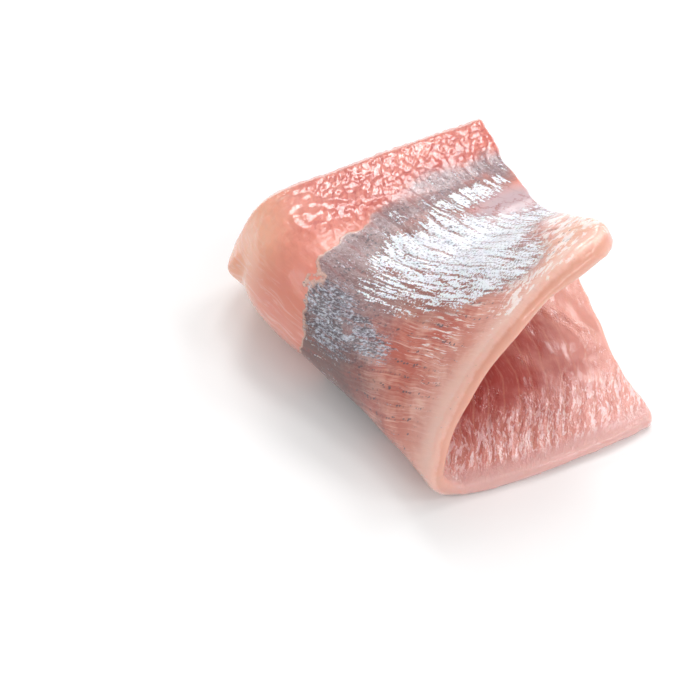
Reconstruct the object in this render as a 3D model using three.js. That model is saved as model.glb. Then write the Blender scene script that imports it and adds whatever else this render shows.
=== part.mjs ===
// A raw herring fillet with its skin on, folded once across its length and lying on its skin.
//
// It is one piece of fish, so it is one closed solid. The fillet is first laid out flat as a slab with
// rounded rims, and the slab is then carried through the fold, the way a cook folds it: the lower flap
// stays flat on the board, the middle turns over in a bend with the skin outside, and the upper flap
// comes back above it. At the back edge the two flaps lie close together. At the thin belly edge the
// upper flap stands up and arches over, so a wedge-shaped gap opens between them.
//
// Frame: millimetres, +Z up. The skin of the lower flap rests on z = 0. +X runs from the fold to the two
// cut ends, and +Y from the belly edge to the back edge. The origin is the middle of the underside of
// the bounding box.

import * as THREE from "three";
import { mergeVertices } from "three/addons/utils/BufferGeometryUtils.js";

// Driving dimensions. Lengths are in mm and angles in degrees.
// A row of five gives one size on five rails, which run the length of the fillet and are spread evenly
// across it: the belly edge first, then the belly, the middle line, the back and the back edge.
const WIDTH = 63;
const THICKNESS = [2.8, 5, 7.8, 9.8, 9];
const LOWER_LENGTH = [35, 37, 40.5, 44, 40.5];
const UPPER_LENGTH = [51.5, 44, 37.5, 36, 36.5];
const BEND_START = [4.5, 3, 1, -1, 0.5];
const BEND_INNER_RADIUS = [5.2, 3.8, 3.2, 3.8, 3];

// The angle that the two flaps keep between them just past the bend, and how far the upper flap has
// arched over from there to its cut end.
const FLAP_OPENING = [84, 53, 15, 0, 2];
const UPPER_ARCH = [82, 47, 14, 1, 1];

// How far the upper cut end is carried towards the back, because the bend doesn't run square across.
const UPPER_LEAN = [11, 6.5, 3, 1.5, 1];
const LEAN_GROWTH = 1.4;

// How far the lower belly edge bows out beyond a straight line, and the share of the bend at which the
// bow has died away.
const BELLY_BOW = 1.5;
const BOW_REACH = 0.3;

// How far each rim draws in between the middle of its thickness and the skin or the flesh.
const BELLY_RIM = 1.3;
const BACK_RIM = 3;
const CUT_RIM = 0.9;

// The share at each end of the bend over which the curve tightens gradually.
const BEND_EASE = 0.15;

// Mesh steps along the lower flap, the bend and the upper flap, across the width and round the rims.
const LOWER_STEPS = 15;
const BEND_STEPS = 15;
const UPPER_STEPS = 20;
const WIDTH_STEPS = 18;
const RIM_STEPS = 6;

// Steps for adding up a rail's path, and the small distance used to find which way the skin faces.
const PATH_STEPS = 160;
const PROBE = 0.05;

const { clamp, degToRad, lerp } = THREE.MathUtils;

// A row's size at share v of the width, on a smooth curve through its five values.
function across(row, v) {
  const last = row.length - 1;
  const i = clamp(Math.floor(v * last), 0, last - 1);
  const t = v * last - i;
  const before = i > 0 ? row[i - 1] : 2 * row[0] - row[1];
  const after = i + 2 <= last ? row[i + 2] : 2 * row[last] - row[last - 1];
  const slopeIn = (row[i + 1] - before) / 2;
  const slopeOut = (after - row[i]) / 2;
  const rise = row[i + 1] - row[i];
  const square = 3 * rise - 2 * slopeIn - slopeOut;
  const cube = slopeIn + slopeOut - 2 * rise;
  return row[i] + t * (slopeIn + t * (square + t * cube));
}

// The share of the turn that is done at share t of the bend.
function turnDone(t) {
  const whole = 1 - BEND_EASE;
  if (t <= 0) return 0;
  if (t >= 1) return 1;
  if (t < BEND_EASE) return (t * t) / (2 * BEND_EASE) / whole;
  if (t > 1 - BEND_EASE) return 1 - ((1 - t) * (1 - t)) / (2 * BEND_EASE) / whole;
  return (t - BEND_EASE / 2) / whole;
}

// Everything that one rail needs to be drawn. The bend radius is that of the skin, so it grows with the
// thickness and the flesh inside the fold keeps its own radius.
function railAt(v) {
  const opening = degToRad(across(FLAP_OPENING, v));
  const turn = Math.PI - opening;
  const radius = across(BEND_INNER_RADIUS, v) + across(THICKNESS, v);
  return {
    v,
    turn,
    lower: across(LOWER_LENGTH, v),
    bend: radius * turn,
    upper: across(UPPER_LENGTH, v),
    start: across(BEND_START, v),
    arch: degToRad(across(UPPER_ARCH, v)),
    lean: across(UPPER_LEAN, v),
  };
}

// The direction in which a rail runs, s mm along the skin from the lower cut end: pi is back along the
// board, and less than that is rising through the bend.
function heading(rail, s) {
  const pastLower = s - rail.lower;
  const pastBend = clamp((pastLower - rail.bend) / rail.upper, 0, 1);
  return Math.PI - rail.turn * turnDone(pastLower / rail.bend) - rail.arch * pastBend;
}

// The point of the skin s mm along a rail. The part past the lower flap is added up in short steps.
function skinPoint(rail, s) {
  const curved = Math.max(s - rail.lower, 0);
  const step = curved / PATH_STEPS;
  let x = rail.start + rail.lower - Math.min(s, rail.lower);
  let z = 0;
  for (let i = 0; i < PATH_STEPS; i++) {
    const angle = heading(rail, rail.lower + (i + 0.5) * step);
    x += step * Math.cos(angle);
    z += step * Math.sin(angle);
  }
  const leaning = clamp((curved - rail.bend / 2) / (rail.upper + rail.bend / 2), 0, 1);
  const bowing = clamp(s / (rail.lower + BOW_REACH * rail.bend), 0, 1);
  const y =
    rail.v * WIDTH +
    rail.lean * leaning ** LEAN_GROWTH -
    BELLY_BOW * (1 - rail.v) * Math.sin(Math.PI * bowing);
  return new THREE.Vector3(x, y, z);
}

// The way from the skin into the flesh, square to the skin.
function inwards(v, s) {
  const rail = railAt(v);
  const probeShare = PROBE / WIDTH;
  const alongSkin = skinPoint(rail, s + PROBE).sub(skinPoint(rail, s - PROBE));
  const acrossSkin = skinPoint(railAt(v + probeShare), s).sub(skinPoint(railAt(v - probeShare), s));
  return acrossSkin.cross(alongSkin).normalize();
}

// The distance along a rail's skin at share a of the mesh, which gives each flap and the bend the same
// number of steps on every rail.
function distanceAt(rail, a) {
  const steps = a * (LOWER_STEPS + BEND_STEPS + UPPER_STEPS);
  const pastLower = steps - LOWER_STEPS;
  const pastBend = pastLower - BEND_STEPS;
  if (pastLower < 0) return (rail.lower * steps) / LOWER_STEPS;
  if (pastBend < 0) return rail.lower + (rail.bend * pastLower) / BEND_STEPS;
  return rail.lower + rail.bend + (rail.upper * pastBend) / UPPER_STEPS;
}

// Where a point of the flat slab ends up in the folded fillet. a, b and c run from 0 to 1: from the
// lower to the upper cut end, from the belly to the back edge, and from the skin to the flesh.
function foldedPoint(a, b, c) {
  const round = Math.PI * (c - 0.5);
  const drawnIn = 1 - Math.cos(round);
  const depth = (1 + Math.sin(round)) / 2;
  const v = lerp(BELLY_RIM * drawnIn, WIDTH - BACK_RIM * drawnIn, b) / WIDTH;
  const rail = railAt(v);
  const length = rail.lower + rail.bend + rail.upper;
  const trimmed = 1 - (2 * CUT_RIM * drawnIn) / length;
  const s = length / 2 + (distanceAt(rail, a) - length / 2) * trimmed;
  const skin = skinPoint(rail, s);
  return skin.addScaledVector(inwards(v, s), across(THICKNESS, v) * depth);
}

// The closed surface of the fillet: a unit slab, folded point by point.
function filletGeometry() {
  const lengthSteps = LOWER_STEPS + BEND_STEPS + UPPER_STEPS;
  const slab = new THREE.BoxGeometry(1, 1, 1, lengthSteps, WIDTH_STEPS, RIM_STEPS);
  slab.deleteAttribute("normal");
  slab.deleteAttribute("uv");
  const folded = mergeVertices(slab);
  const place = folded.getAttribute("position");
  for (let i = 0; i < place.count; i++) {
    // The slab's own X runs from the upper to the lower cut end, as the lower flap does on the board.
    const a = 0.5 - place.getX(i);
    const b = 0.5 + place.getY(i);
    const c = 0.5 + place.getZ(i);
    const point = foldedPoint(a, b, c);
    place.setXYZ(i, point.x, point.y, point.z);
  }
  folded.computeVertexNormals();
  return folded;
}

// Moves a geometry so that the origin is the middle of its bounding box, on the underside.
function setOnOrigin(geometry) {
  geometry.computeBoundingBox();
  const { min, max } = geometry.boundingBox;
  geometry.translate(-(min.x + max.x) / 2, -(min.y + max.y) / 2, -min.z);
  return geometry;
}

const fishFlesh = new THREE.MeshStandardMaterial({ color: 0xe3a095, roughness: 0.28, metalness: 0 });

const herringFillet = new THREE.Mesh(setOnOrigin(filletGeometry()), fishFlesh);
herringFillet.name = "herring_fillet";

const foldedFillet = new THREE.Group();
foldedFillet.add(herringFillet);

export default foldedFillet;
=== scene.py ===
# %% [markdown]
# # A folded herring fillet
#
# A herring fillet is one soft slab: pink muscle on the inside, and on the outside a skin that has lost
# its scales, so that torn silver foil, grey membrane and bare muscle lie side by side. This one is
# folded once across its length with the skin outside.
#
# Two things make it hard. The shape is one smooth sheet that bends over itself, and the finish is wet,
# so most of what the eye sees is small highlights on small bumps. The lesson takes them in that order:
# fold a finely divided slab, raise real bumps on it, and only then paint it.

import math

import bpy
import numpy as np
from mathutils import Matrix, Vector


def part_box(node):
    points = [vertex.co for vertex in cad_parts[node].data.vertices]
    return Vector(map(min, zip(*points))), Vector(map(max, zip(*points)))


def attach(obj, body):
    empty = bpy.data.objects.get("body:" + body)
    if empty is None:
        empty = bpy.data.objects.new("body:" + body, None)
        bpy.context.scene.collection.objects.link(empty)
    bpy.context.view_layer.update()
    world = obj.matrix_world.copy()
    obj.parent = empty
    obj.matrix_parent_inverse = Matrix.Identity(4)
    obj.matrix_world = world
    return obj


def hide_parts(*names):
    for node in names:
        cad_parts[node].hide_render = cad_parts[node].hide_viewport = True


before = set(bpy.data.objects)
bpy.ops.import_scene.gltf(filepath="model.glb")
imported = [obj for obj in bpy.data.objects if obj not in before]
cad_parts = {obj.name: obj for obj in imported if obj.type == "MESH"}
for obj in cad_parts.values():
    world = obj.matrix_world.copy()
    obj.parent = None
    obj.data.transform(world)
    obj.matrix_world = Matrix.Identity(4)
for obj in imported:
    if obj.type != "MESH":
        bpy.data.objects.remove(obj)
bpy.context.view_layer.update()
NODE = "herring_fillet"
node_low, node_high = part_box(NODE)
print("the plain solid is", [round(1000 * n, 1) for n in node_high - node_low], "mm")

# %% [markdown]
# ## The sizes of the fillet
#
# The fillet is measured on five rails that run its length, from the belly edge to the back edge. Each
# row below gives one size on those rails. A shape like this could be sculpted, but sizes on rails can
# be checked against the plain solid, and one row changes one thing: how thick it is, where it bends or
# how far the thin belly edge stands open.

# %% The sizes, in millimetres and degrees
WIDTH = 63
THICKNESS = [2.8, 5, 7.8, 9.8, 9]
LOWER_LENGTH = [35, 37, 40.5, 44, 40.5]
UPPER_LENGTH = [51.5, 44, 37.5, 36, 36.5]
BEND_START = [4.5, 3, 1, -1, 0.5]
BEND_INNER_RADIUS = [5.2, 3.8, 3.2, 3.8, 3]
FLAP_OPENING = [84, 53, 15, 0, 2]
UPPER_ARCH = [82, 47, 14, 1, 1]
UPPER_LEAN = [11, 6.5, 3, 1.5, 1]
LEAN_GROWTH = 1.4
BELLY_BOW = 1.5
BOW_REACH = 0.3
BELLY_RIM = 1.3
BACK_RIM = 3
CUT_RIM = 0.9
BEND_EASE = 0.15
print("width", WIDTH, "mm, thickness", min(THICKNESS), "to", max(THICKNESS), "mm")


# %% A size anywhere across the width
def across(row, v):
    """A row's size at share v of the width, on a smooth curve through its five values."""
    row = np.array(row, float)
    ends = np.concatenate([[2 * row[0] - row[1]], row, [2 * row[-1] - row[-2]]])
    place = np.asarray(v, float) * (len(row) - 1)
    i = np.clip(np.floor(place).astype(int), 0, len(row) - 2)
    t = place - i
    slope_in = (ends[i + 2] - ends[i]) / 2
    slope_out = (ends[i + 3] - ends[i + 1]) / 2
    rise = ends[i + 2] - ends[i + 1]
    square = 3 * rise - 2 * slope_in - slope_out
    return ends[i + 1] + t * (slope_in + t * (square + t * (slope_in + slope_out - 2 * rise)))


def rails_at(v):
    """Everything that the rails at these shares of the width need to be drawn."""
    turn = np.pi - np.radians(across(FLAP_OPENING, v))
    radius = across(BEND_INNER_RADIUS, v) + across(THICKNESS, v)
    rails = {"v": v, "turn": turn, "bend": radius * turn}
    rails["lower"] = across(LOWER_LENGTH, v)
    rails["upper"] = across(UPPER_LENGTH, v)
    rails["start"] = across(BEND_START, v)
    rails["arch"] = np.radians(across(UPPER_ARCH, v))
    rails["lean"] = across(UPPER_LEAN, v)
    rails["whole"] = rails["lower"] + rails["bend"] + rails["upper"]
    return rails


edge_rails = rails_at(np.array([0.0, 0.5, 1.0]))
print("laid flat it is", edge_rails["whole"].round(1), "mm long at belly, middle and back")

# %% [markdown]
# ## Folding the slab
#
# A rail starts at the lower cut end and lies flat on the board. It then rises through the bend, and
# comes back as the upper flap. Its direction at every millimetre is simple to say, so the path is found
# by adding up many short steps in that direction. A bend modifier could fold a slab too, but only by
# one angle for the whole width, and here the belly edge opens 80 degrees more than the back.


# %% The path of the rails
PATH_STEPS = 900


def turn_done(t):
    """The share of the turn that is done at share t of the bend, easing in and out."""
    t = np.clip(t, 0, 1)
    start = t**2 / (2 * BEND_EASE)
    end = (1 - BEND_EASE) - (1 - t) ** 2 / (2 * BEND_EASE)
    middle = t - BEND_EASE / 2
    done = np.where(t < BEND_EASE, start, np.where(t > 1 - BEND_EASE, end, middle))
    return done / (1 - BEND_EASE)


def skin_points(rails, s):
    """The skin's points at distances s along the rails, one column of s to a rail."""
    marks = np.linspace(-0.02, 1.02, PATH_STEPS + 1)[:, None] * rails["whole"]
    past_lower = (marks[1:] + marks[:-1]) / 2 - rails["lower"]
    past_bend = np.clip((past_lower - rails["bend"]) / rails["upper"], 0, 1)
    heading = np.pi - rails["turn"] * turn_done(past_lower / rails["bend"]) - rails["arch"] * past_bend
    step = marks[1] - marks[0]
    x, z = np.empty_like(s), np.empty_like(s)
    for j in range(s.shape[1]):
        path_x = np.concatenate([[0], np.cumsum(np.cos(heading[:, j])) * step[j]])
        path_z = np.concatenate([[0], np.cumsum(np.sin(heading[:, j])) * step[j]])
        x[:, j] = np.interp(s[:, j], marks[:, j], path_x) - np.interp(0, marks[:, j], path_x)
        z[:, j] = np.interp(s[:, j], marks[:, j], path_z)
    x += rails["start"] + rails["lower"]
    curved = np.maximum(s - rails["lower"], 0)
    leaning = np.clip((curved - rails["bend"] / 2) / (rails["upper"] + rails["bend"] / 2), 0, 1)
    bowing = np.clip(s / (rails["lower"] + BOW_REACH * rails["bend"]), 0, 1)
    y = rails["v"] * WIDTH + rails["lean"] * leaning**LEAN_GROWTH
    y = y - BELLY_BOW * (1 - rails["v"]) * np.sin(np.pi * bowing)
    return np.stack([x, y, z], axis=2)


def into_flesh(points):
    """The way from the skin into the flesh at each point of a grid, square to the skin."""
    turned = np.cross(np.gradient(points, axis=1), np.gradient(points, axis=0))
    return turned / np.linalg.norm(turned, axis=2, keepdims=True)


upper_ends = skin_points(edge_rails, edge_rails["whole"][None, :])
print("the skin of the upper cut is", upper_ends[0, :, 2].round(1), "mm up at belly, middle and back")

# %% [markdown]
# ## Ragged cuts
#
# A knife leaves no straight line in soft fish. The two cut ends wander by half a millimetre, and the
# belly edge is a little wavy. These small errors are made with smooth noise: random numbers on a grid,
# with smooth curves between them. The numbers come from the grid place itself, so that every run gives
# the same fish.


# %% Repeatable noise
def dice(i, j, seed):
    """A repeatable number from 0 to 1 for each square of a grid."""
    n = (i * 374761393 + j * 668265263 + seed * 974711) & 0xFFFFFFFF
    n = ((n ^ (n >> 13)) * 1274126177) & 0xFFFFFFFF
    return ((n ^ (n >> 16)) & 0xFFFF) / 65535.0


def waves(x, y, seed):
    """Smooth noise from -1 to 1, with hills about one unit apart."""
    i, j = np.floor(x).astype(np.int64), np.floor(y).astype(np.int64)
    tx, ty = x - i, y - j
    tx, ty = tx * tx * (3 - 2 * tx), ty * ty * (3 - 2 * ty)
    low = dice(i, j, seed) * (1 - tx) + dice(i + 1, j, seed) * tx
    high = dice(i, j + 1, seed) * (1 - tx) + dice(i + 1, j + 1, seed) * tx
    return 2 * (low * (1 - ty) + high * ty) - 1


def rough(x, y, seed, layers=3):
    """Several layers of smooth noise, each half the size and half the height of the last."""
    return sum(waves(x * 2**k, y * 2**k, seed + 7 * k) / 2**k for k in range(layers))


def cells(x, y, seed):
    """Scattered cells: how far each point is from the middle of its cell, and from its border."""
    i, j = np.floor(x).astype(np.int64), np.floor(y).astype(np.int64)
    near = np.full(np.shape(x), 9.0)
    second = near.copy()
    for di in (-1, 0, 1):
        for dj in (-1, 0, 1):
            cx = i + di + dice(i + di, j + dj, seed)
            cy = j + dj + dice(i + di, j + dj, seed + 50)
            far = np.hypot(x - cx, y - cy)
            second = np.minimum(second, np.maximum(near, far))
            near = np.minimum(near, far)
    return near, second - near


def fade(x, low, high):
    """0 below low, 1 above high, and smooth between them."""
    t = np.clip((x - low) / (high - low), 0, 1)
    return t * t * (3 - 2 * t)


print("three samples of the noise:", waves(np.array([0.2, 0.5, 0.8]), np.zeros(3), 1).round(2))

# %% [markdown]
# ## One closed surface
#
# The slab is a box of grid points of which only the outer ones are kept: the skin below, the flesh
# above, and rounded rims between. Every point knows its place on the flat fish, in millimetres along
# it from the middle of the bend and across it from the belly edge. All patterns are drawn on that flat
# fish, so that they fold with it, as they do on the real one.

# %% The grid and its faces
ALONG, ACROSS, ROUND = 332, 138, 6
LOWER_SHARE, BEND_SHARE = 0.345, 0.255

shell = np.zeros((ALONG + 1, ACROSS + 1, ROUND + 1), bool)
shell[[0, -1]] = True
shell[:, [0, -1]] = True
shell[:, :, [0, -1]] = True
number = np.full(shell.shape, -1)
number[shell] = np.arange(shell.sum())


def side(grid, turned):
    """The four-cornered faces of one side of the slab, from a grid of point numbers."""
    corners = [grid[:-1, :-1], grid[1:, :-1], grid[1:, 1:], grid[:-1, 1:]]
    if turned:
        corners.reverse()
    return np.stack([c.ravel() for c in corners], axis=1)


SIDES = {
    "skin": (number[:, :, 0], False),
    "flesh": (number[:, :, -1], True),
    "belly_rim": (number[:, 0, :], True),
    "back_rim": (number[:, -1, :], False),
    "lower_cut": (number[0, :, :], False),
    "upper_cut": (number[-1, :, :], True),
}
faces = np.concatenate([side(*SIDES[name]) for name in SIDES])
print(shell.sum(), "points and", len(faces), "faces")


# %% [markdown]
# ### Folding the layers
#
# The slab is folded one layer after another, from the skin to the flesh. A plain fold is measured
# first, because the middle of its box is the origin of the solid. The fold that is kept has ragged
# cuts, rounded corners and a back edge that is a little fuller past the fold.

# %% Fold every layer of the slab
def distance_along(rails, a):
    """The distance along each rail at shares a of the grid."""
    a = a[:, None]
    in_bend = rails["lower"] + rails["bend"] * (a - LOWER_SHARE) / BEND_SHARE
    upper_start = LOWER_SHARE + BEND_SHARE
    in_upper = rails["lower"] + rails["bend"] + rails["upper"] * (a - upper_start) / (1 - upper_start)
    return np.where(a < LOWER_SHARE, rails["lower"] * a / LOWER_SHARE,
                    np.where(a < upper_start, in_bend, in_upper))


# How far from each corner the rounding starts: at the belly end of the upper cut, at the belly end of
# the lower cut, and at the back end of both.
NOSE_ROUND, TAIL_ROUND, BACK_ROUND = 6.0, 1.6, 2.0

# How much further the belly corner of the upper flap reaches than the plain fold does.
NOSE_REACH = 1.9


def rounded_corner(v, belly_round, back_round):
    """How far a cut end draws back at its two corners, to round them."""
    from_belly = np.clip(1 - v * WIDTH / belly_round, 0, 1)
    from_back = np.clip(1 - (1 - v) * WIDTH / back_round, 0, 1)
    return (belly_round * (1 - np.sqrt(1 - 0.98 * from_belly**2))
            + back_round * (1 - np.sqrt(1 - 0.98 * from_back**2)))


# How far the cut ends wander, and over what length that dies away. Then how far the rims wander, and
# how much fuller the back edge is past the fold.
CUT_WANDER = 0.4
CUT_SOFT = 5
RIM_WANDER = 0.3
BACK_FULLER = 0.8


def fold_layer(k, ragged):
    """One layer of the slab, folded: its points, and their places on the flat fish."""
    angle = np.pi * (k / ROUND - 0.5)
    drawn_in, depth = 1 - np.cos(angle), (1 + np.sin(angle)) / 2
    b = np.linspace(0, 1, ACROSS + 1)
    v = (BELLY_RIM * drawn_in * (1 - b) + (WIDTH - BACK_RIM * drawn_in) * b) / WIDTH
    rails = rails_at(v)
    s = distance_along(rails, np.linspace(0, 1, ALONG + 1))
    s = rails["whole"] / 2 + (s - rails["whole"] / 2) * (1 - 2 * CUT_RIM * drawn_in / rails["whole"])
    if ragged:
        s = s - rounded_corner(v, NOSE_ROUND, BACK_ROUND) * fade(s, rails["whole"] - 14, rails["whole"])
        s = s + rounded_corner(v, TAIL_ROUND, BACK_ROUND) * (1 - fade(s, 0, 9))
    skin = skin_points(rails, s)
    points = skin + into_flesh(skin) * (across(THICKNESS, v) * depth)[None, :, None]
    if ragged:
        y = v[None, :] * WIDTH + 0 * s
        near_lower = np.exp(-s / CUT_SOFT)
        near_upper = np.exp(-(rails["whole"] - s) / CUT_SOFT)
        along = np.gradient(points, axis=0)
        along /= np.linalg.norm(along, axis=2, keepdims=True)
        shift = CUT_WANDER * (rough(y / 7, depth + 0 * y, 3) * near_lower
                              + rough(y / 6, depth + 0 * y, 4) * near_upper)
        past_middle = fade(s, rails["whole"] - 16, rails["whole"])
        shift = shift + NOSE_REACH * past_middle * np.exp(-((y / 9) ** 2))
        points = points + along * shift[:, :, None]
        sideways = np.gradient(points, axis=1)
        sideways /= np.linalg.norm(sideways, axis=2, keepdims=True)
        near_belly = np.exp(-y / 4)
        past_fold = fade(s, rails["lower"], rails["lower"] + rails["bend"] / 2)
        near_back = np.exp(-(WIDTH - y) / 8) * past_fold
        wander = RIM_WANDER * rough(s / 8, depth + 0 * s, 5) * near_belly
        fuller = (BACK_FULLER + RIM_WANDER * rough(s / 10, depth + 0 * s, 6)) * near_back
        points = points + sideways * (wander + fuller)[:, :, None]
    u = s - rails["lower"] - rails["bend"] / 2
    flat = np.stack([u, v[None, :] * WIDTH + 0 * u, depth + 0 * u], axis=2)
    return points, flat


plain = np.stack([fold_layer(k, ragged=False)[0] for k in range(ROUND + 1)], axis=2)[shell]
middle = np.array([(plain[:, 0].min() + plain[:, 0].max()) / 2,
                   (plain[:, 1].min() + plain[:, 1].max()) / 2, 0])
layers = [fold_layer(k, ragged=True) for k in range(ROUND + 1)]
points = np.stack([layer[0] for layer in layers], axis=2)[shell] - middle
flat = np.stack([layer[1] for layer in layers], axis=2)[shell]
size = plain.max(0) - plain.min(0)
print("folded size", size.round(2), "mm; difference from the plain solid",
      (size - 1000 * np.array(node_high - node_low)).round(2), "mm")

# %% [markdown]
# ## A chart of the flat fish
#
# On a real fillet nothing is spread evenly. The muscle is built of thin bands, about 3 mm wide, that
# run down from the back and sweep towards the cut end over the belly. The skin has torn off along a line
# that climbs from the fold to the cut end. Below it a grey membrane shows, then the silver, and the
# belly is bare and pale. These places are worked out once here, as smooth fields over the flat fish,
# and both the bumps and the paint read them. So a dark line in the paint always lies in a real groove.

# %% Fields over the flat fish
BAND = 2.8
u, y, depth = flat[:, 0], flat[:, 1], flat[:, 2]
v = y / WIDTH

# The bands: one line of muscle keeps one value of sweep.
belly_sweep = 47 * np.maximum(0.6 - v, 0) ** 1.5
back_sweep = 10 * np.maximum(v - 0.6, 0) ** 1.3
wobble = 0.9 * waves(u / 9, y / 9, 11) + 0.35 * waves(u / 3, y / 3, 12)
sweep = u - belly_sweep + back_sweep + wobble

# The tear: positive on the bare back, negative where skin is left, in millimetres.
tear_line = WIDTH * (0.57 + 0.17 * fade(u, 2, 34) + 0.08 * fade(u, 26, 50) - 0.05 * fade(-u, 5, 45))
tear = y - tear_line + 2.0 * rough(u / 4.5, y / 4.5, 24, 4)


def patch(u0, y0, long, wide, tilt=0.0):
    """A soft oval on the flat fish, 1 in the middle and 0 outside."""
    turn = math.radians(tilt)
    du, dy = u - u0, y - y0
    a = (du * math.cos(turn) + dy * math.sin(turn)) / long
    b = (dy * math.cos(turn) - du * math.sin(turn)) / wide
    return np.clip(1 - (a * a + b * b) / 2, 0, 1)


# The silver starts a little below the tear, and ends where the bands sweep into the belly.
flank = np.abs(sweep)
silver_foot = WIDTH * (0.27 - 0.13 * fade(flank, 15, 26) + 0.28 * fade(flank, 28, 46))
silver_top = np.minimum(tear_line - 6, WIDTH * (0.63 - 0.10 * fade(u, 36, 52)))
silver = fade(y, silver_foot - 5, silver_foot + 7) * (1 - fade(y, silver_top - 3, silver_top + 3))
silver *= 0.50 * fade(flank, 9, 20) + 0.50 * fade(flank, 20, 31)
silver *= 1 - 0.5 * patch(42, 19, 2.2, 5.5, -60) - 0.45 * patch(50, 36, 6.5, 3.6)
silver += 0.68 * patch(46, 42, 8, 2.1, 8)
silver *= np.where(u > 0, 1, 0.7)

# A blue-grey patch of foil lies on the fold, with one small hole in it.
blue_spots = [patch(11, 34, 4.6, 4.6, 20), patch(8, 31, 4.0, 5.0), patch(12, 26, 2.8, 6.0, 12)]
blue = np.clip(np.maximum.reduce(blue_spots), 0, 1) - 2.5 * patch(10.5, 28.7, 0.7, 0.6)

# Painted shade: the membrane is painted darkest where the fold faces down and lies in shade, and it
# thins out away from the tear.
shade = (1 - fade(np.abs(u + 1), 5, 14)) * fade(v + 0.05 * waves(u / 3, y / 3, 51), 0.20, 0.38)
pink = np.clip(patch(50, 36.5, 7.0, 4.2, 5) * 1.3, 0, 1) * (u > 0)
membrane_reach = 9 + 7.5 * (1 - fade(u, 14, 30)) + 1.5 * waves(u / 3, y / 3, 52)

# Thin white film, partly painted highlight: flakes near the belly corner, and strands under the silver.
white_film_and_sheen = fade(u, 25, 40) * (1 - fade(y, silver_foot, silver_foot + 6)) * fade(y, 1, 3)
under_silver = fade(y, silver_foot - 14, silver_foot - 5) * (1 - fade(y, silver_foot, silver_foot + 6))
white_film_and_sheen = np.maximum(white_film_and_sheen, 0.72 * fade(u, 8, 20) * under_silver)

# The colour of the bare muscle: peach by the fold and at the belly corner, red along the back.
peach = np.clip(np.maximum.reduce([
    (1 - fade(u, 9, 19)) * fade(v, 0.66, 0.84), 0.85 * patch(53, 8, 8, 9),
]), 0, 1)
redness = fade(u + 5 * waves(u / 4, y / 4, 41), 7, 28) * fade(v, 0.66, 0.78)
redness *= 1 - 0.7 * fade(v, 0.92, 0.985)
print("bands", BAND, "mm apart")
print("tear line", tear_line.min().round(1), "to", tear_line.max().round(1), "mm from the belly edge")

# %% [markdown]
# ## Real bumps
#
# Wet fish shines on its bumps, so the larger ones are geometry and not only paint. The skin side gets
# a groove at each muscle band, a small step where the membrane ends, and soft pillows on the bare back.
# The flesh side gets the rounded backs of the muscle bands. Each point moves along the surface normal
# by a fraction of a millimetre.


# %% Heights of the bumps, in millimetres
def from_band_line():
    """How far each point is from the nearest line between two bands, in millimetres."""
    place = sweep / BAND
    return BAND * np.abs(place - np.round(place))


pillow_u = u + 0.35 * waves(u / 1.9, y / 1.9, 25) + 0.15 * waves(u / 0.8, y / 0.8, 29)
pillow_y = y + 0.35 * waves(u / 1.9, y / 1.9, 35) + 0.15 * waves(u / 0.8, y / 0.8, 39)
large_border = cells(pillow_u / 1.4, pillow_y / 1.7, 26)[1]
small_border = cells(pillow_u / 0.8, pillow_y / 0.9, 46)[1]
gap = np.minimum(large_border / 0.40, 1) * (0.72 + 0.28 * np.minimum(small_border / 0.5, 1))


# The nub is the small knob of muscle on the back edge of the fold. The nose is the belly corner of the
# upper flap.
NUB_HEIGHT, NUB_WIDTH = 2.4, 3.0
GROOVE_DEPTH, GROOVE_WIDTH = 0.13, 0.32
PILLOW_HEIGHT = 0.14
STROKE_HEIGHT = 0.10
MEMBRANE_STEP = 0.12
NOSE_FULLNESS = 1.0


def skin_bumps():
    """The height of the skin side."""
    swell = 0.34 * waves(u / 13, y / 13, 21) + 0.22 * waves(u / 5, y / 5, 22)
    broken = fade(rough(sweep / 3, y / 7, 23), -0.5, 0.5)
    grooves = -GROOVE_DEPTH * np.exp(-((from_band_line() / GROOVE_WIDTH) ** 2)) * broken
    left_skin = fade(-tear, -0.25 - 2 * fade(u, 24, 32), 0.25 + 3 * fade(u, 24, 32))
    ridged = left_skin * fade(v, 0.03, 0.12)
    wet_back = (1 - left_skin) * np.clip(redness + 0.3, 0, 1)
    strokes = STROKE_HEIGHT * rough(u / 0.8, y / 1.2, 37, 2) * (1 - left_skin) * fade(u, 4, 10)
    pillows = PILLOW_HEIGHT * np.sqrt(gap) + 0.055 * rough(u / 0.8, y / 0.8, 27, 2)
    crinkle = 0.06 * rough(sweep / 1.0, y / 2.2, 28, 2) * (0.35 + silver)
    nub = NUB_HEIGHT * np.exp(-(((u + 0.3) / NUB_WIDTH) ** 2))
    nub = nub * fade(y, 51.5, 55.5) * (1 - 0.95 * fade(y, 55, 65))
    smooth = swell + MEMBRANE_STEP * left_skin + nub
    return smooth + ridged * grooves + wet_back * pillows + strokes + left_skin * crinkle


edge_side = fade(-v, -0.24, -0.10) * fade(-u, -8, 4)
scattered = fade(waves(u / 3.2, y / 4, 36), 0.0, 0.5)
wet_spots = np.clip(0.9 * edge_side + scattered, 0, 1) * fade(depth, 0.8, 1)


def flesh_bumps():
    """The height of the flesh side."""
    swell = 0.30 * waves(u / 12, y / 12, 31) + 0.16 * waves(u / 5, y / 5, 32)
    dome = np.sin(np.pi / 2 * np.clip(from_band_line() / (BAND / 2), 0, 1))
    backs = (0.04 + 0.13 * edge_side) * dome
    lumps = 0.05 * rough(sweep / 1.6, y / 4, 33, 2)
    lumps = lumps + 0.10 * wet_spots * rough(sweep / 0.8, y / 1.4, 34, 2)
    inside_rim = fade(y, 1.5, 3.5)
    return swell + inside_rim * (backs + lumps)


def cut_bumps():
    """The height of the cut faces and the rims, between skin and flesh."""
    thick = depth * across(THICKNESS, v)
    swell = 0.30 * waves(u / 12, y / 12, 31)
    return swell + 0.10 * rough((u + y) / 1.5, thick / 1.3, 61, 3)


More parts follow.
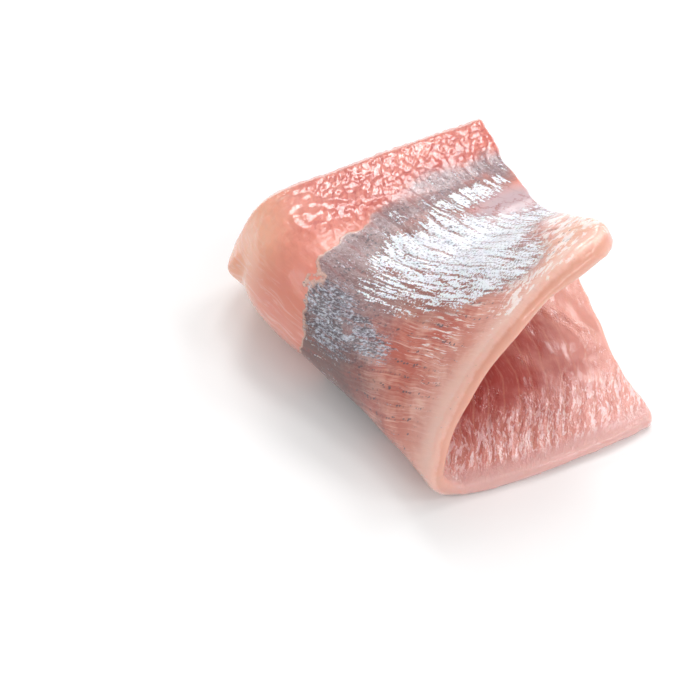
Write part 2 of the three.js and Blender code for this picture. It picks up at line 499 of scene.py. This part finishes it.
on_skin, on_flesh = 1 - fade(depth, 0, 0.4), fade(depth, 0.6, 1)
bumps = skin_bumps() * on_skin + flesh_bumps() * on_flesh + cut_bumps() * (1 - on_skin - on_flesh)
bumps += NOSE_FULLNESS * patch(54, 4, 9, 10) ** 2
print("bumps from", bumps.min().round(2), "to", bumps.max().round(2), "mm")

# %% [markdown]
# ## Building the mesh
#
# The grid is turned into a mesh, its smooth normals are read, and every point is moved out by its
# bump. The lower flap rests on the board, so there the bumps are pressed flat where they would sink
# into it.

# %% Make the fillet
MM = 0.001
mesh = bpy.data.meshes.new("folded_fillet")
mesh.from_pydata((points * MM).tolist(), [], faces.tolist())
mesh.validate()
normals = np.empty(len(points) * 3, np.float32)
mesh.vertices.foreach_get("normal", normals)
normals = normals.reshape(-1, 3)
shaped = points + normals * bumps[:, None]
shaped[:, 2] = np.maximum(shaped[:, 2], 0.0)
mesh.vertices.foreach_set("co", (shaped * MM).astype(np.float32).ravel())
mesh.polygons.foreach_set("use_smooth", np.ones(len(mesh.polygons), bool))
fillet = bpy.data.objects.new("folded_fillet", mesh)
bpy.context.scene.collection.objects.link(fillet)
mesh.update()
print("made", fillet.name, "with", len(mesh.polygons), "faces")


# %% Write the flat places and fields on the mesh
def keep_field(name, x, y_part, z):
    """Three fields, kept on the mesh's points for the paint to read."""
    made = mesh.attributes.new(name, "FLOAT_VECTOR", "POINT")
    made.data.foreach_set("vector", np.stack([x, y_part, z], axis=1).astype(np.float32).ravel())


keep_field("flat_fish", u, y, depth * across(THICKNESS, v))
keep_field("bands", sweep, y * 1.1, from_band_line())
keep_field("skin_left", tear, silver, blue)
keep_field("tint", peach, 1 - fade(y, 1.5, 6), v)
keep_field("wet", wet_spots, edge_side, fade(-v, -0.42, -0.15))
keep_field("back", redness, shade, gap)
keep_field("scraps", pink, white_film_and_sheen, tear_line - y)
keep_field("cover", membrane_reach, fade(y, 3.5, 8), fade(u, 24, 32))
print("kept 8 sets of three fields on", len(flat), "points")

# %% [markdown]
# ## A map for the textures
#
# The fish unrolls almost without stretching, so its map is the flat fish itself: skin, back rim, flesh
# and belly rim side by side as one sheet, and the two cut ends as strips above it.

# %% Lay out the map
MAP_SIDE = 146.0
MAP_GAP = 2.0


def sheet_places():
    """Where each side of the slab lies on the map, in millimetres, on the same grids as its faces."""
    rows = np.linspace(0, 116, ALONG + 1)[:, None]
    columns = np.linspace(0, WIDTH, ACROSS + 1)[None, :]
    rounds = np.linspace(0, 1, ROUND + 1)[None, :]
    belly, back = 4.0, 10.0
    skin_x = MAP_GAP + columns
    back_x = MAP_GAP + WIDTH + back * rounds
    flesh_x = MAP_GAP + WIDTH + back + (WIDTH - columns)
    belly_x = MAP_GAP + 2 * WIDTH + back + belly * (1 - rounds)
    cut_rows = 116 + 3 * MAP_GAP + 10 * rounds
    cut_columns = np.linspace(0, WIDTH, ACROSS + 1)[:, None]
    return {
        "skin": (skin_x + 0 * rows, rows + MAP_GAP + 0 * skin_x),
        "flesh": (flesh_x + 0 * rows, rows + MAP_GAP + 0 * flesh_x),
        "belly_rim": (belly_x + 0 * rows, rows + MAP_GAP + 0 * belly_x),
        "back_rim": (back_x + 0 * rows, rows + MAP_GAP + 0 * back_x),
        "lower_cut": (MAP_GAP + cut_columns + 0 * cut_rows, cut_rows + 0 * cut_columns),
        "upper_cut": (WIDTH + 2 * MAP_GAP + cut_columns + 0 * cut_rows, cut_rows + 0 * cut_columns),
    }


places = sheet_places()
corners_x = np.concatenate([side(places[name][0], SIDES[name][1]) for name in SIDES])
corners_y = np.concatenate([side(places[name][1], SIDES[name][1]) for name in SIDES])
unrolled = mesh.uv_layers.new(name="OFBake")
map_places = np.stack([corners_x, corners_y], axis=2) / MAP_SIDE
unrolled.data.foreach_set("uv", map_places.astype(np.float32).ravel())
print("map spans", (corners_x.max() / MAP_SIDE).round(3), "by", (corners_y.max() / MAP_SIDE).round(3))

# %% [markdown]
# ## Wet fish as a material
#
# Fish flesh lets light in and scatters it back red, so the base is a skin shader with subsurface light.
# Over it lies a film of water, which is the shader's clear coat: colourless, smooth and always on. The
# foil that is left of the silver layer is partly metal. The paint is built from small helpers, so that
# each finish below reads like a recipe.

# %% Helpers for painting
fish = bpy.data.materials.new("wet_fish")
fish.use_nodes = True
tree = fish.node_tree
tree.nodes.clear()


def put(kind, values=None, **settings):
    """A node with its settings made and its inputs filled by numbers or by other nodes' outputs."""
    made = tree.nodes.new(kind)
    for name, value in settings.items():
        setattr(made, name, value)
    for key, value in (values or {}).items():
        if isinstance(value, bpy.types.NodeSocket):
            tree.links.new(value, made.inputs[key])
        else:
            made.inputs[key].default_value = value
    return made


def field(name):
    """The three fields kept under one name."""
    read = put("ShaderNodeAttribute", attribute_name=name)
    return put("ShaderNodeSeparateXYZ", {0: read.outputs["Vector"]}).outputs


def sums(operation, a, b=0.0, c=0.0):
    """Arithmetic on two or three values."""
    return put("ShaderNodeMath", {0: a, 1: b, 2: c}, operation=operation).outputs[0]


def times(a, b):
    """One value times another."""
    return sums("MULTIPLY", a, b)


def plus(a, b):
    """Two values together."""
    return sums("ADD", a, b)


def outside(share):
    """What a share from 0 to 1 leaves over."""
    return sums("SUBTRACT", 1.0, share)


def from_to(share, low, high):
    """One value where share is 0, another where it is 1."""
    return put("ShaderNodeMix", {0: share, 2: low, 3: high}, data_type="FLOAT").outputs[0]


def between(value, low, high):
    """0 below low, 1 above high, smooth between."""
    made = put("ShaderNodeMapRange", {0: value, 1: low, 2: high}, interpolation_type="SMOOTHSTEP")
    return made.outputs[0]


def stretched(a, b, size_a, size_b, c=0.0):
    """A place for a pattern whose spots measure size_a by size_b millimetres."""
    across_depth = sums("MULTIPLY_ADD", deep, 1 / size_a, c)
    place = {0: sums("DIVIDE", a, size_a), 1: sums("DIVIDE", b, size_b), 2: across_depth}
    return put("ShaderNodeCombineXYZ", place).outputs[0]


def grain(where, detail=3.0, roughness=0.55, twist=0.0):
    """Soft noise from 0 to 1."""
    made = put("ShaderNodeTexNoise", {"Vector": where, "Scale": 1.0, "Detail": detail,
                                      "Roughness": roughness, "Distortion": twist})
    return made.outputs["Fac"]


def swing(value, height):
    """Noise made to swing about zero by a height."""
    return sums("MULTIPLY_ADD", value, height, -height / 2)


def spots(where, feature="F1", randomness=1.0):
    """Scattered cells: the distance to the middle of the nearest one, or to its border."""
    values = {"Vector": where, "Scale": 1.0, "Randomness": randomness}
    return put("ShaderNodeTexVoronoi", values, feature=feature).outputs["Distance"]


def colour(red, green, blue_part):
    """A colour as the eye names it, turned into the linear light that the shader counts in."""
    return tuple(c / 12.92 if c <= 0.04045 else ((c + 0.055) / 1.055) ** 2.4
                 for c in (red, green, blue_part)) + (1.0,)


def paint_over(under, over, share):
    """One colour laid over another by a share from 0 to 1."""
    made = put("ShaderNodeMix", {0: share, 6: under, 7: over}, data_type="RGBA")
    return made.outputs[2]


along, width, deep = field("flat_fish")
band, run, from_line = field("bands")
torn, foil, steel = field("skin_left")
pale, rim, share_across = field("tint")
wet_flesh, wet_edge, belly_side = field("wet")
red, shaded, pillow = field("back")
rosy, film_sheen, below_line = field("scraps")
reach, off_rim, thin_skin = field("cover")
print("the paint reads eight sets of fields")

# %% [markdown]
# ### The bare back and the belly
#
# Where the skin is gone the muscle shows: salmon red along the back, paler where it is thin, with
# faint fibres that follow the bands. Two noises of different size keep it from looking dyed.

# %% Muscle seen from outside
BACK_RED = colour(0.76, 0.34, 0.29)
GROOVE_RED_AND_SHADE = colour(0.70, 0.25, 0.22)
BACK_LIGHT = colour(0.87, 0.55, 0.49)
BACK_PLAIN = colour(0.87, 0.55, 0.47)
WHITE_FILM_AND_SHEEN = colour(0.96, 0.90, 0.88)
PEACH = colour(0.93, 0.69, 0.57)
CREAM = colour(0.93, 0.76, 0.70)
BELLY_PINK = colour(0.75, 0.39, 0.32)
PALE_STRAND_AND_SHEEN = colour(0.94, 0.78, 0.74)
BELLY_PALE = colour(0.88, 0.65, 0.58)

under_skin = plus(deep, swing(grain(stretched(along, width, 1.5, 1.5, 30.0), 3, 0.6), 0.8))
inside = between(under_skin, 0.35, 1.0)

clouds = grain(stretched(along, width, 6.0, 6.0), 3, 0.6)
fibres = grain(stretched(band, run, 0.5, 7.0), 3, 0.6, 0.4)
strokes = grain(stretched(band, run, 1.1, 12.0, 4.0), 3, 0.5, 0.6)
mottle = grain(stretched(along, width, 1.2, 1.2, 6.0), 4, 0.65)
red_paint = paint_over(BACK_RED, BACK_LIGHT, between(plus(clouds, times(mottle, 0.6)), 0.62, 1.05))
# Painted shade: the grooves between the pillows are painted a darker red, partly the muscle's own colour
# and partly shade.
groove_shade_here = outside(between(plus(pillow, times(mottle, 0.5)), 0.30, 0.75))
red_paint = paint_over(red_paint, GROOVE_RED_AND_SHADE, times(groove_shade_here, 0.75))
back_paint = paint_over(BACK_PLAIN, BACK_LIGHT, between(plus(clouds, times(strokes, 0.8)), 0.75, 1.15))
back_paint = paint_over(back_paint, red_paint, red)
belly_paint = paint_over(BELLY_PINK, BELLY_PALE, between(plus(clouds, times(fibres, 0.7)), 0.72, 1.10))
# The pale strands on the belly are partly fibres and partly painted highlight, the wet shine along them.
belly_strands_and_sheen = between(grain(stretched(band, run, 0.6, 9.0, 14.0), 4, 0.65, 0.8), 0.54, 0.72)
belly_paint = paint_over(belly_paint, PALE_STRAND_AND_SHEEN, times(belly_strands_and_sheen, 0.6))
low_belly = outside(between(share_across, 0.02, 0.24))
belly_paint = paint_over(belly_paint, BELLY_PALE, times(low_belly, 0.7))
upward = between(share_across, 0.45, 0.62)
muscle_paint = paint_over(belly_paint, back_paint, upward)
muscle_paint = paint_over(muscle_paint, PEACH, times(pale, 0.8))
pale_fibres = between(grain(stretched(band, run, 0.7, 8.0, 24.0), 4, 0.65, 0.6), 0.50, 0.66)
on_left = times(outside(between(along, 2.0, 12.0)), upward)
muscle_paint = paint_over(muscle_paint, PALE_STRAND_AND_SHEEN, times(pale_fibres, times(on_left, 0.5)))
muscle_paint = paint_over(muscle_paint, CREAM, times(rim, 0.75))
print("the paint has", len(tree.nodes), "nodes with the muscle")

# %% [markdown]
# ### The thin white film
#
# Scraps of a thin white film are left on the bare muscle. They lie as long strands under the silver, and
# as flakes near the belly corner of the upper flap. Their white is partly film and partly painted
# highlight, the wet shine on these places.

# %% Strands and flakes of white film
film_sheen_strands = grain(stretched(band, run, 0.55, 6.0, 16.0), 5, 0.68, 0.5)
film_sheen_flakes = grain(stretched(along, width, 2.2, 2.0, 19.0), 5, 0.7, 0.3)
on_nose = between(along, 30.0, 40.0)
film_sheen_scraps = from_to(on_nose, film_sheen_strands, film_sheen_flakes)
film_sheen_enough = between(plus(times(film_sheen, 0.20), film_sheen_scraps), 0.68, 0.74)
film_sheen_here = times(film_sheen_enough, sums("MINIMUM", times(film_sheen, 1.6), 1.0))
# Painted highlight: the white here is partly film and partly the wet shine on it.
muscle_paint = paint_over(muscle_paint, WHITE_FILM_AND_SHEEN, times(film_sheen_here, 0.88))
print("the paint has", len(tree.nodes), "nodes with the white film")

# %% [markdown]
# ### The grey membrane and its pepper
#
# The torn membrane is see-through grey-brown, full of tiny black pigment cells. Its edge is ragged, so
# the smooth tear line is shifted by noise before it is turned into an edge.

# %% Membrane and pepper
MEMBRANE = colour(0.55, 0.50, 0.52)
MEMBRANE_DARK = colour(0.43, 0.37, 0.39)
MEMBRANE_LIGHT = colour(0.84, 0.80, 0.83)
FOLD_SHADE = colour(0.30, 0.21, 0.21)
PEPPER = colour(0.36, 0.32, 0.34)
TORN_EDGE = colour(0.95, 0.78, 0.70)

jag_wide = grain(stretched(along, width, 1.5, 1.5), 4, 0.7)
jag_fine = grain(stretched(band, run, 0.7, 1.6, 8.0), 3, 0.6)
jags = plus(swing(jag_wide, 0.8), swing(jag_fine, 0.7))
below_tear = plus(times(torn, -1.0), jags)
sharp_edge = between(below_tear, -0.10, 0.10)
soft_edge = between(plus(below_tear, swing(jag_wide, 3.0)), -2.0, 3.5)
skin_here = from_to(thin_skin, sharp_edge, soft_edge)
torn_edge = times(between(below_tear, -0.10, 0.12), outside(between(below_tear, 0.25, 0.85)))
torn_edge = times(torn_edge, outside(thin_skin))
past_reach = sums("DIVIDE", plus(below_tear, swing(jag_wide, 5.0)), reach)
thick_membrane = outside(between(past_reach, 0.55, 1.35))
# Painted shade: the membrane is also laid wherever the fold shade is painted.
thick_membrane = times(skin_here, sums("MAXIMUM", thick_membrane, times(shaded, 0.9)))
membrane_tone = grain(stretched(along, width, 0.8, 0.8), 4, 0.75)
membrane_paint = paint_over(MEMBRANE, MEMBRANE_DARK, between(membrane_tone, 0.42, 0.62))
membrane_spark = between(grain(stretched(band, run, 0.4, 0.7, 12.0), 4, 0.7), 0.55, 0.65)
membrane_paint = paint_over(membrane_paint, MEMBRANE_LIGHT, times(membrane_spark, 0.7))
# Painted shade: the membrane is darkened where the fold faces down.
membrane_paint = paint_over(membrane_paint, FOLD_SHADE, times(shaded, 0.9))
pepper_size = spots(stretched(along, width, 0.72, 0.72))
pepper_clouds = grain(stretched(along, width, 2.4, 2.4), 2, 0.5)
pepper_wanted = between(plus(pepper_clouds, times(thick_membrane, 0.12)), 0.48, 0.66)
pepper = times(outside(between(pepper_size, 0.20, 0.32)), pepper_wanted)
pepper_zone = sums("MAXIMUM", thick_membrane, times(foil, 1.2))
pepper = times(pepper, times(off_rim, sums("MINIMUM", plus(pepper_zone, 0.12), 1.0)))

# Rows of pigment cells lie along the band lines, where the muscle bands meet the skin.
row_place = stretched(band, run, 0.75, 0.75, 3.0)
row_dot = outside(between(spots(row_place), 0.24, 0.40))
near_line = outside(between(from_line, 0.15, 0.55))
row_wanted = between(grain(stretched(band, run, 5.0, 5.0, 1.0), 2, 0.5), 0.40, 0.52)
row_zone = times(between(share_across, 0.06, 0.14), outside(between(share_across, 0.36, 0.50)))
rows = times(times(row_dot, near_line), times(row_wanted, row_zone))
print("the paint has", len(tree.nodes), "nodes with the membrane")

# %% [markdown]
# ### The silver
#
# The silver is a foil of tiny crystals. It breaks along the bands into long scraps, and slits of red
# muscle show between them. The smooth field says how much silver there should be, and long thin noise
# decides where it has really stayed.

# %% Silver foil and its slits
SILVER = colour(0.92, 0.93, 0.955)
SILVER_GREY = colour(0.58, 0.54, 0.58)
STEEL_BLUE = colour(0.35, 0.31, 0.34)
STEEL_LIGHT = colour(0.79, 0.81, 0.86)
SLIT_RED = colour(0.60, 0.31, 0.29)
ROSY = colour(0.74, 0.67, 0.70)
UNDER_FOIL = colour(0.52, 0.36, 0.34)

scraps = grain(stretched(band, run, 0.65, 5.0), 5, 0.6, 0.3)
flecks = grain(stretched(along, width, 0.45, 0.45), 4, 0.7)
islands = grain(stretched(band, run, 3.0, 5.0, 7.0), 3, 0.6)
loose = plus(swing(scraps, 3.3), plus(swing(flecks, 2.6), swing(islands, 1.4)))
in_membrane = times(between(below_line, 0.0, 2.0), outside(between(below_line, 9.0, 16.0)))
foil_share = sums("MAXIMUM", times(foil, 1.25), times(in_membrane, 0.22))
bare = outside(sums("MINIMUM", times(foil_share, 3.0), 1.0))
foil_wanted = plus(sums("MULTIPLY_ADD", bare, -0.65, foil_share), loose)
foil_here = times(between(foil_wanted, 0.50, 0.68), skin_here)
slit_noise = grain(stretched(band, run, 1.2, 8.0, 3.0), 3, 0.6)
slit_near = outside(between(plus(from_line, swing(flecks, 0.9)), 0.13, 0.40))
slits = times(slit_near, between(slit_noise, 0.44, 0.54))
bent_along = plus(along, swing(jag_wide, 4.0))
bent_width = plus(width, swing(jag_fine, 3.0))
crack_place = stretched(bent_along, bent_width, 3.0, 1.9, 6.0)
crack_lines = spots(crack_place, "DISTANCE_TO_EDGE")
crack_lines = outside(between(plus(crack_lines, swing(flecks, 0.15)), 0.00, 0.07))
cracks = times(crack_lines, times(between(rosy, 0.15, 0.5), between(clouds, 0.36, 0.48)))
foil_here = times(foil_here, outside(times(slits, 0.75)))
foil_tone = plus(times(flecks, 0.8), times(scraps, 0.4))
foil_paint = paint_over(SILVER_GREY, SILVER, between(foil_tone, 0.48, 0.62))
steel_wanted = plus(times(steel, 1.0), plus(swing(flecks, 1.8), swing(scraps, 2.6)))
steel_here = times(between(steel_wanted, 0.42, 0.85), skin_here)
steel_fine = grain(stretched(band, run, 0.38, 0.7, 5.0), 4, 0.7)
steel_clouds = grain(stretched(along, width, 1.8, 1.8, 7.0), 2, 0.5)
steel_tone = plus(times(steel_fine, 0.75), times(steel_clouds, 0.25))
steel_paint = paint_over(STEEL_BLUE, STEEL_LIGHT, between(steel_tone, 0.43, 0.61))
print("the paint has", len(tree.nodes), "nodes with the silver")

# %% [markdown]
# ### Putting the skin side together
#
# The layers go on as they lie on the fish: muscle, then membrane, then pepper, then the foil.

# %% The skin side
skin_paint = paint_over(muscle_paint, membrane_paint, times(thick_membrane, 0.85))
line_tint = times(outside(between(from_line, 0.05, 0.5)), times(skin_here, 0.5))
line_tint = times(line_tint, between(share_across, 0.10, 0.30))
skin_paint = paint_over(skin_paint, SLIT_RED, times(line_tint, between(slit_noise, 0.42, 0.58)))
skin_paint = paint_over(skin_paint, TORN_EDGE, times(torn_edge, 0.55))
near_foil = sums("MINIMUM", times(foil, 1.6), 0.75)
skin_paint = paint_over(skin_paint, UNDER_FOIL, times(skin_here, near_foil))
skin_paint = paint_over(skin_paint, ROSY, times(times(rosy, skin_here), 0.85))
skin_paint = paint_over(skin_paint, foil_paint, foil_here)
skin_paint = paint_over(skin_paint, SLIT_RED, times(cracks, 0.7))
skin_paint = paint_over(skin_paint, steel_paint, times(steel_here, 0.9))
skin_paint = paint_over(skin_paint, PEPPER, times(pepper, times(skin_here, 0.8)))
skin_paint = paint_over(skin_paint, PEPPER, times(rows, 0.95))
print("the paint has", len(tree.nodes), "nodes with the skin side")

# %% [markdown]
# ### The flesh side
#
# Inside, the muscle is deep red near the backbone and fades to pink towards the belly edge and the cut
# ends. Fine pale lines run between the bands.

# %% The flesh side
FLESH_DEEP = colour(0.66, 0.28, 0.26)
FLESH_PINK = colour(0.84, 0.58, 0.54)
FLESH_PALE = colour(0.85, 0.62, 0.53)
RIM_ROSE = colour(0.84, 0.67, 0.66)
PALE_FILM_AND_SHEEN = colour(0.96, 0.86, 0.86)

flesh_clouds = grain(stretched(along, width, 7.0, 7.0, 9.0), 3, 0.6)
flesh_fibres = grain(stretched(band, run, 0.35, 5.0, 9.0), 4, 0.65, 0.3)
to_belly = outside(between(share_across, 0.02, 0.32))
to_end = between(plus(sums("ABSOLUTE", along), swing(flesh_clouds, 14.0)), 26.0, 56.0)
lighter = plus(times(to_belly, 0.8), plus(times(to_end, 0.8), swing(flesh_clouds, 0.7)))
flesh_paint = paint_over(FLESH_DEEP, FLESH_PINK, between(lighter, 0.0, 0.75))
flesh_paint = paint_over(flesh_paint, FLESH_PALE, times(between(flesh_fibres, 0.50, 0.70), 0.25))
flesh_paint = paint_over(flesh_paint, FLESH_PALE, times(to_end, 0.35))
band_sheet = outside(between(plus(from_line, swing(mottle, 0.25)), 0.05, 0.30))
flesh_paint = paint_over(flesh_paint, FLESH_PALE, times(band_sheet, 0.30))
print("the paint has", len(tree.nodes), "nodes with the flesh")

# %% [markdown]
# ### Film and rims on the flesh side
#
# On the lower flap a strip near the belly edge keeps scraps of a pale film, partly painted highlight.
# The wet places have small pale dots of painted sparkle. The rim itself is paler than the flesh behind
# it.

# %% Pale strip, painted sparkle dots and rims
# Painted highlight: the pale strip near the belly edge is partly film and partly the wet shine there.
film_noise = grain(stretched(band, run, 0.9, 4.5, 26.0), 4, 0.65, 0.6)
film_fine = grain(stretched(band, run, 0.4, 1.0, 28.0), 3, 0.6, 0.6)
film_end = between(plus(width, swing(film_noise, 9.0)), 8.0, 15.0)
film_and_sheen_strip = times(between(width, 1.6, 2.6), outside(film_end))
film_and_sheen_strip = times(film_and_sheen_strip, outside(between(along, -8.0, 4.0)))
film_wanted = plus(times(film_noise, 0.6), times(film_fine, 0.4))
film_and_sheen_here = times(between(film_wanted, 0.49, 0.56), film_and_sheen_strip)
flesh_paint = paint_over(flesh_paint, PALE_FILM_AND_SHEEN, times(film_and_sheen_here, 0.8))
# Painted highlight: small pale dots in the wet places stand for sparkles on the wet flesh.
painted_sparkle_dots = between(plus(film_fine, times(wet_flesh, 0.10)), 0.70, 0.76)
flesh_paint = paint_over(flesh_paint, PALE_FILM_AND_SHEEN, times(painted_sparkle_dots, times(wet_flesh, 0.7)))
rim_pale = outside(between(width, 0.8, 2.4))
flesh_paint = paint_over(flesh_paint, FLESH_PALE, times(rim_pale, 0.8))
whole_paint = paint_over(skin_paint, flesh_paint, inside)
lower_rim = times(outside(between(width, 1.5, 4.0)), outside(between(along, -8.0, 8.0)))
whole_paint = paint_over(whole_paint, RIM_ROSE, times(lower_rim, 0.75))
print("the paint has", len(tree.nodes), "nodes with both sides")

# %% [markdown]
# ### Fine bumps and the water film
#
# The smallest wrinkles, about half a millimetre across, are too fine for the mesh and are bump. The
# water film smooths nothing away: it follows the wrinkles and turns each one into a spark of light.

# %% Fine bumps
small = grain(stretched(along, width, 0.45, 0.45, 2.0), 4, 0.6)
long_small = grain(stretched(band, run, 0.5, 2.2, 2.0), 4, 0.6)
long_height = sums("MULTIPLY_ADD", belly_side, 0.05, 0.035)
skin_height = plus(times(small, 0.022), times(long_small, long_height))
skin_height = plus(skin_height, times(foil_here, 0.03))
skin_height = plus(skin_height, times(mottle, sums("MULTIPLY_ADD", thick_membrane, 0.06, 0.03)))
sparkle = grain(stretched(band, run, 0.5, 0.8, 18.0), 2, 0.5, 0.8)
ridges = grain(stretched(band, run, 0.6, 3.5, 22.0), 2, 0.5, 0.4)
flesh_height = times(sparkle, times(wet_flesh, 0.14))
off_edge = times(wet_edge, between(width, 2.0, 4.5))
flesh_height = plus(flesh_height, times(ridges, times(off_edge, 0.18)))
flesh_height = plus(flesh_height, plus(times(small, 0.012), times(long_small, 0.02)))
height = from_to(inside, skin_height, flesh_height)
wrinkles = put("ShaderNodeBump", {"Strength": 1.0, "Distance": MM, "Height": height})
print("the paint has", len(tree.nodes), "nodes with the fine bumps")

# %% [markdown]
# ### The finished fish
#
# Light goes a little way into raw fish and comes out redder, so part of the colour is scattered below
# the surface. The coat is the water film. It is thinner on the foil, which shines by itself.

# %% The finished fish
roughness = sums("MULTIPLY_ADD", foil_here, 0.06, 0.46)
metal = times(sums("MAXIMUM", foil_here, steel_here), 0.12)
film = sums("MULTIPLY_ADD", foil_here, -0.45, 1.0)
body = put("ShaderNodeBsdfPrincipled", {
    "Base Color": whole_paint,
    "Roughness": roughness,
    "Metallic": metal,
    "IOR": 1.40,
    "Subsurface Weight": 0.65,
    "Subsurface Radius": (1.0, 0.38, 0.25),
    "Subsurface Scale": 0.0014,
    "Coat Weight": film,
    "Coat Roughness": 0.06,
    "Coat IOR": 1.5,
    "Normal": wrinkles.outputs[0],
    "Coat Normal": wrinkles.outputs[0],
})
put("ShaderNodeOutputMaterial", {"Surface": body.outputs[0]})
mesh.materials.append(fish)
print("the paint has", len(tree.nodes), "nodes")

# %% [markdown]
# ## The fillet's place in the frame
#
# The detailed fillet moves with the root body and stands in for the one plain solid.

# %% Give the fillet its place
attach(fillet, "root")
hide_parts(NODE)
print(fillet.name, "replaces", NODE)

# %% [markdown]
# ## The table, the light and the camera
#
# The fillet lies on a plain white table in a white studio. Four lights stand behind it and to its
# right, where the wet back mirrors them towards the camera. One hangs overhead, and a wide weak one
# fills the fold from the left. Three stand in front, on the right, for the flesh side and the belly.

# %% The table
TABLE_SIDE = 6
bpy.ops.mesh.primitive_plane_add(size=TABLE_SIDE, location=(0, 0, 0))
table = bpy.context.object
table.name = "table"
white = bpy.data.materials.new("white_table")
white.use_nodes = True
white.node_tree.nodes["Principled BSDF"].inputs["Base Color"].default_value = (0.9, 0.9, 0.9, 1)
white.node_tree.nodes["Principled BSDF"].inputs["Roughness"].default_value = 0.6
table.data.materials.append(white)
print("the table is", TABLE_SIDE, "m across")


# %% The lights
def softbox(name, azimuth, height_angle, distance, width_m, height_m, brightness):
    """An area light that faces the fillet. Azimuth is measured from +Y towards +X, in degrees."""
    lamp = bpy.data.lights.new(name, "AREA")
    lamp.shape = "RECTANGLE"
    lamp.size, lamp.size_y = width_m, height_m
    lamp.energy = brightness * math.pi * width_m * height_m
    holder = bpy.data.objects.new(name, lamp)
    az, el = math.radians(azimuth), math.radians(height_angle)
    way = Vector((math.sin(az) * math.cos(el), math.cos(az) * math.cos(el), math.sin(el)))
    holder.location = way * distance + Vector((0, 0, 0.015))
    holder.rotation_euler = way.to_track_quat("Z", "Y").to_euler()
    bpy.context.scene.collection.objects.link(holder)


softbox("back_light", 15, 34, 0.60, 0.20, 0.11, 11.5)
softbox("top_light", 36, 62, 0.60, 0.14, 0.14, 8.5)
softbox("left_light", -95, 40, 0.70, 0.30, 0.30, 1.5)
softbox("right_light", 72, 46, 0.60, 0.16, 0.14, 8.5)
softbox("side_light", 92, 24, 0.70, 0.24, 0.12, 6)
softbox("overhead_light", 15, 80, 0.60, 0.18, 0.16, 2.5)
softbox("front_light", 130, 42, 0.60, 0.14, 0.14, 8)
softbox("low_light", 150, 12, 0.80, 0.40, 0.08, 9)
softbox("front_fill", 170, 28, 0.80, 0.60, 0.40, 0.8)
world = bpy.data.worlds.new("studio")
world.use_nodes = True
world.node_tree.nodes["Background"].inputs["Color"].default_value = (1, 1, 1, 1)
world.node_tree.nodes["Background"].inputs["Strength"].default_value = 0.6
bpy.context.scene.world = world
bpy.context.scene.view_settings.view_transform = "Standard"

# %% [markdown]
# ### The camera
#
# The camera stands on the belly side, turned a little towards the fold, and looks down at the fillet.
# Its azimuth is measured from -Y towards +X.

# %% The camera
CAMERA_AZIMUTH, CAMERA_HEIGHT = -24.5, 49.0
CAMERA_DISTANCE = 0.33525
AIM = Vector((-0.0056, 0.0286, 0.012)) - Vector((middle[0] * MM, middle[1] * MM, 0))
lens = bpy.data.cameras.new("camera")
lens.lens = 100
lens.sensor_width = 36
camera = bpy.data.objects.new("camera", lens)
az, el = math.radians(CAMERA_AZIMUTH), math.radians(CAMERA_HEIGHT)
towards_camera = Vector((math.sin(az) * math.cos(el), -math.cos(az) * math.cos(el), math.sin(el)))
camera.location = AIM + towards_camera * CAMERA_DISTANCE
camera.rotation_euler = towards_camera.to_track_quat("Z", "Y").to_euler()
lens.clip_start = 0.01
bpy.context.scene.collection.objects.link(camera)
bpy.context.scene.camera = camera
print("the camera is", CAMERA_DISTANCE, "m away and looks down at", CAMERA_HEIGHT, "degrees")
